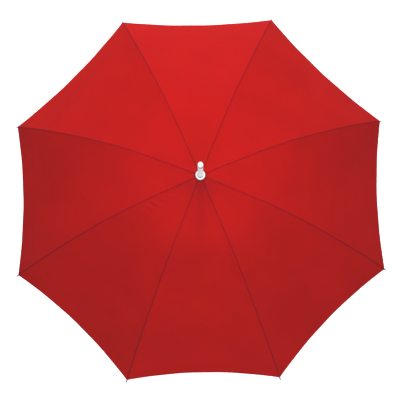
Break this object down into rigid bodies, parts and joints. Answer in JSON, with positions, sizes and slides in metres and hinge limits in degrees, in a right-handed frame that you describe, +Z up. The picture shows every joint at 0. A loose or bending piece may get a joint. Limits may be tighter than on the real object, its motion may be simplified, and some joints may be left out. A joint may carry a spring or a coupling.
{
  "type": "golf umbrella",
  "caption": "Open golf umbrella: domed gored canopy on curved ribs, sliding runner and stretchers on a tubular shaft, long rounded ferrule and straight grip.",
  "frame": {"origin": "on the shaft's axis, at the bottom of the handle's end cap", "axes": "+Z up along the shaft to the ferrule, +X towards the side where the catches stand out, canopy open; gores face the axes and diagonals"},
  "size_m": [1.1928, 1.1928, 1.092],
  "materials": {
    "fabric_red": "woven pongee, slight sheen",
    "white_plastic": "glossy white moulding",
    "black_plastic": "satin moulded plastic",
    "rib_rod": "satin glass-fibre rod",
    "steel": "bright steel tube",
    "black_steel": "black enamelled steel channel",
    "wire_steel": "drawn steel wire",
    "spring_steel": "spring steel",
    "tip_metal": "dark coated cap",
    "grip_rubber": "soft matt grip"
  },
  "bodies": {
    "shaft_group": {"shaft": "steel", "top_notch": "black_plastic", "notch_wire": "wire_steel", "crown_cap": "white_plastic", "ferrule": "white_plastic", "ferrule_tip": "white_plastic", "handle_grip": "grip_rubber", "handle_cap": "black_plastic"},
    "rib_group_1": {"rib_1": "rib_rod", "joiner_1": "black_plastic", "canopy_panel_1": "fabric_red"},
    "rib_end_group_1": {"rib_end_1": "rib_rod", "rib_tip_1": "tip_metal"},
    "stretcher_group_1": {"stretcher_1": "black_steel"},
    "rib_group_2": {"rib_2": "rib_rod", "joiner_2": "black_plastic", "canopy_panel_2": "fabric_red"},
    "rib_end_group_2": {"rib_end_2": "rib_rod", "rib_tip_2": "tip_metal"},
    "stretcher_group_2": {"stretcher_2": "black_steel"},
    "rib_group_3": {"rib_3": "rib_rod", "joiner_3": "black_plastic", "canopy_panel_3": "fabric_red"},
    "rib_end_group_3": {"rib_end_3": "rib_rod", "rib_tip_3": "tip_metal"},
    "stretcher_group_3": {"stretcher_3": "black_steel"},
    "rib_group_4": {"rib_4": "rib_rod", "joiner_4": "black_plastic", "canopy_panel_4": "fabric_red"},
    "rib_end_group_4": {"rib_end_4": "rib_rod", "rib_tip_4": "tip_metal"},
    "stretcher_group_4": {"stretcher_4": "black_steel"},
    "rib_group_5": {"rib_5": "rib_rod", "joiner_5": "black_plastic", "canopy_panel_5": "fabric_red"},
    "rib_end_group_5": {"rib_end_5": "rib_rod", "rib_tip_5": "tip_metal"},
    "stretcher_group_5": {"stretcher_5": "black_steel"},
    "rib_group_6": {"rib_6": "rib_rod", "joiner_6": "black_plastic", "canopy_panel_6": "fabric_red"},
    "rib_end_group_6": {"rib_end_6": "rib_rod", "rib_tip_6": "tip_metal"},
    "stretcher_group_6": {"stretcher_6": "black_steel"},
    "rib_group_7": {"rib_7": "rib_rod", "joiner_7": "black_plastic", "canopy_panel_7": "fabric_red"},
    "rib_end_group_7": {"rib_end_7": "rib_rod", "rib_tip_7": "tip_metal"},
    "stretcher_group_7": {"stretcher_7": "black_steel"},
    "rib_group_8": {"rib_8": "rib_rod", "joiner_8": "black_plastic", "canopy_panel_8": "fabric_red"},
    "rib_end_group_8": {"rib_end_8": "rib_rod", "rib_tip_8": "tip_metal"},
    "stretcher_group_8": {"stretcher_8": "black_steel"},
    "runner_group": {"runner": "black_plastic", "runner_wire": "wire_steel"},
    "top_spring_group": {"top_spring": "spring_steel"},
    "bottom_spring_group": {"bottom_spring": "spring_steel"}
  },
  "joints": [
    {"name": "rib_fold_1", "type": "hinge", "parent": "shaft_group", "child": "rib_group_1", "pos_m": [0.01016, 0.00421, 0.91875], "axis": [-0.3827, 0.9239, 0], "range_deg": [0, 74.15], "deforming": ["canopy_panel_1", "canopy_panel_2", "canopy_panel_3", "canopy_panel_4", "canopy_panel_5", "canopy_panel_6", "canopy_panel_7", "canopy_panel_8", "top_spring", "bottom_spring"]},
    {"name": "rib_flex_1", "type": "hinge", "parent": "rib_group_1", "child": "rib_end_group_1", "pos_m": [0.30578, 0.12666, 0.8457], "axis": [-0.3827, 0.9239, 0], "range_deg": [-30, 0]},
    {"name": "stretcher_turn_1", "type": "hinge", "parent": "rib_group_1", "child": "stretcher_group_1", "pos_m": [0.30276, 0.12541, 0.84067], "axis": [-0.3827, 0.9239, 0], "range_deg": [-148.35, 0]},
    {"name": "rib_fold_2", "type": "hinge", "parent": "shaft_group", "child": "rib_group_2", "pos_m": [0.00421, 0.01016, 0.91875], "axis": [-0.9239, 0.3827, 0], "range_deg": [0, 74.2]},
    {"name": "rib_flex_2", "type": "hinge", "parent": "rib_group_2", "child": "rib_end_group_2", "pos_m": [0.12666, 0.30578, 0.8457], "axis": [-0.9239, 0.3827, 0], "range_deg": [-30, 0]},
    {"name": "stretcher_turn_2", "type": "hinge", "parent": "rib_group_2", "child": "stretcher_group_2", "pos_m": [0.12541, 0.30276, 0.84067], "axis": [-0.9239, 0.3827, 0], "range_deg": [-148.35, 0]},
    {"name": "rib_fold_3", "type": "hinge", "parent": "shaft_group", "child": "rib_group_3", "pos_m": [-0.00421, 0.01016, 0.91875], "axis": [-0.9239, -0.3827, 0], "range_deg": [0, 74.2]},
    {"name": "rib_flex_3", "type": "hinge", "parent": "rib_group_3", "child": "rib_end_group_3", "pos_m": [-0.12666, 0.30578, 0.8457], "axis": [-0.9239, -0.3827, 0], "range_deg": [-30, 0]},
    {"name": "stretcher_turn_3", "type": "hinge", "parent": "rib_group_3", "child": "stretcher_group_3", "pos_m": [-0.12541, 0.30276, 0.84067], "axis": [-0.9239, -0.3827, 0], "range_deg": [-148.35, 0]},
    {"name": "rib_fold_4", "type": "hinge", "parent": "shaft_group", "child": "rib_group_4", "pos_m": [-0.01016, 0.00421, 0.91875], "axis": [-0.3827, -0.9239, 0], "range_deg": [0, 74.2]},
    {"name": "rib_flex_4", "type": "hinge", "parent": "rib_group_4", "child": "rib_end_group_4", "pos_m": [-0.30578, 0.12666, 0.8457], "axis": [-0.3827, -0.9239, 0], "range_deg": [-30, 0]},
    {"name": "stretcher_turn_4", "type": "hinge", "parent": "rib_group_4", "child": "stretcher_group_4", "pos_m": [-0.30276, 0.12541, 0.84067], "axis": [-0.3827, -0.9239, 0], "range_deg": [-148.35, 0]},
    {"name": "rib_fold_5", "type": "hinge", "parent": "shaft_group", "child": "rib_group_5", "pos_m": [-0.01016, -0.00421, 0.91875], "axis": [0.3827, -0.9239, 0], "range_deg": [0, 74.2]},
    {"name": "rib_flex_5", "type": "hinge", "parent": "rib_group_5", "child": "rib_end_group_5", "pos_m": [-0.30578, -0.12666, 0.8457], "axis": [0.3827, -0.9239, 0], "range_deg": [-30, 0]},
    {"name": "stretcher_turn_5", "type": "hinge", "parent": "rib_group_5", "child": "stretcher_group_5", "pos_m": [-0.30276, -0.12541, 0.84067], "axis": [0.3827, -0.9239, 0], "range_deg": [-148.35, 0]},
    {"name": "rib_fold_6", "type": "hinge", "parent": "shaft_group", "child": "rib_group_6", "pos_m": [-0.00421, -0.01016, 0.91875], "axis": [0.9239, -0.3827, 0], "range_deg": [0, 74.2]},
    {"name": "rib_flex_6", "type": "hinge", "parent": "rib_group_6", "child": "rib_end_group_6", "pos_m": [-0.12666, -0.30578, 0.8457], "axis": [0.9239, -0.3827, 0], "range_deg": [-30, 0]},
    {"name": "stretcher_turn_6", "type": "hinge", "parent": "rib_group_6", "child": "stretcher_group_6", "pos_m": [-0.12541, -0.30276, 0.84067], "axis": [0.9239, -0.3827, 0], "range_deg": [-148.35, 0]},
    {"name": "rib_fold_7", "type": "hinge", "parent": "shaft_group", "child": "rib_group_7", "pos_m": [0.00421, -0.01016, 0.91875], "axis": [0.9239, 0.3827, 0], "range_deg": [0, 74.2]},
    {"name": "rib_flex_7", "type": "hinge", "parent": "rib_group_7", "child": "rib_end_group_7", "pos_m": [0.12666, -0.30578, 0.8457], "axis": [0.9239, 0.3827, 0], "range_deg": [-30, 0]},
    {"name": "stretcher_turn_7", "type": "hinge", "parent": "rib_group_7", "child": "stretcher_group_7", "pos_m": [0.12541, -0.30276, 0.84067], "axis": [0.9239, 0.3827, 0], "range_deg": [-148.35, 0]},
    {"name": "rib_fold_8", "type": "hinge", "parent": "shaft_group", "child": "rib_group_8", "pos_m": [0.01016, -0.00421, 0.91875], "axis": [0.3827, 0.9239, 0], "range_deg": [0, 74.2]},
    {"name": "rib_flex_8", "type": "hinge", "parent": "rib_group_8", "child": "rib_end_group_8", "pos_m": [0.30578, -0.12666, 0.8457], "axis": [0.3827, 0.9239, 0], "range_deg": [-30, 0]},
    {"name": "stretcher_turn_8", "type": "hinge", "parent": "rib_group_8", "child": "stretcher_group_8", "pos_m": [0.30276, -0.12541, 0.84067], "axis": [0.3827, 0.9239, 0], "range_deg": [-148.35, 0]},
    {"name": "runner_turn", "type": "hinge", "parent": "stretcher_group_1", "child": "runner_group", "pos_m": [0.01016, 0.00421, 0.7626], "axis": [-0.3827, 0.9239, 0], "range_deg": [0, 74.2]},
    {"name": "top_spring_press", "type": "slide", "parent": "shaft_group", "child": "top_spring_group", "axis": [-1, 0, 0], "range_m": [0, 0.0035], "stiffness_N_per_m": 800},
    {"name": "bottom_spring_press", "type": "slide", "parent": "shaft_group", "child": "bottom_spring_group", "axis": [-1, 0, 0], "range_m": [0, 0.0035], "stiffness_N_per_m": 800}
  ],
  "couplings": [
    {"joint": "rib_flex_1", "follows": "rib_fold_1", "ratio": -0.4039},
    {"joint": "stretcher_turn_1", "follows": "rib_fold_1", "ratio": -2},
    {"joint": "rib_fold_2", "follows": "rib_fold_1", "ratio": 1},
    {"joint": "rib_flex_2", "follows": "rib_fold_1", "ratio": -0.4039},
    {"joint": "stretcher_turn_2", "follows": "rib_fold_1", "ratio": -2},
    {"joint": "rib_fold_3", "follows": "rib_fold_1", "ratio": 1},
    {"joint": "rib_flex_3", "follows": "rib_fold_1", "ratio": -0.4039},
    {"joint": "stretcher_turn_3", "follows": "rib_fold_1", "ratio": -2},
    {"joint": "rib_fold_4", "follows": "rib_fold_1", "ratio": 1},
    {"joint": "rib_flex_4", "follows": "rib_fold_1", "ratio": -0.4039},
    {"joint": "stretcher_turn_4", "follows": "rib_fold_1", "ratio": -2},
    {"joint": "rib_fold_5", "follows": "rib_fold_1", "ratio": 1},
    {"joint": "rib_flex_5", "follows": "rib_fold_1", "ratio": -0.4039},
    {"joint": "stretcher_turn_5", "follows": "rib_fold_1", "ratio": -2},
    {"joint": "rib_fold_6", "follows": "rib_fold_1", "ratio": 1},
    {"joint": "rib_flex_6", "follows": "rib_fold_1", "ratio": -0.4039},
    {"joint": "stretcher_turn_6", "follows": "rib_fold_1", "ratio": -2},
    {"joint": "rib_fold_7", "follows": "rib_fold_1", "ratio": 1},
    {"joint": "rib_flex_7", "follows": "rib_fold_1", "ratio": -0.4039},
    {"joint": "stretcher_turn_7", "follows": "rib_fold_1", "ratio": -2},
    {"joint": "rib_fold_8", "follows": "rib_fold_1", "ratio": 1},
    {"joint": "rib_flex_8", "follows": "rib_fold_1", "ratio": -0.4039},
    {"joint": "stretcher_turn_8", "follows": "rib_fold_1", "ratio": -2},
    {"joint": "runner_turn", "follows": "rib_fold_1", "ratio": 1}
  ]
}
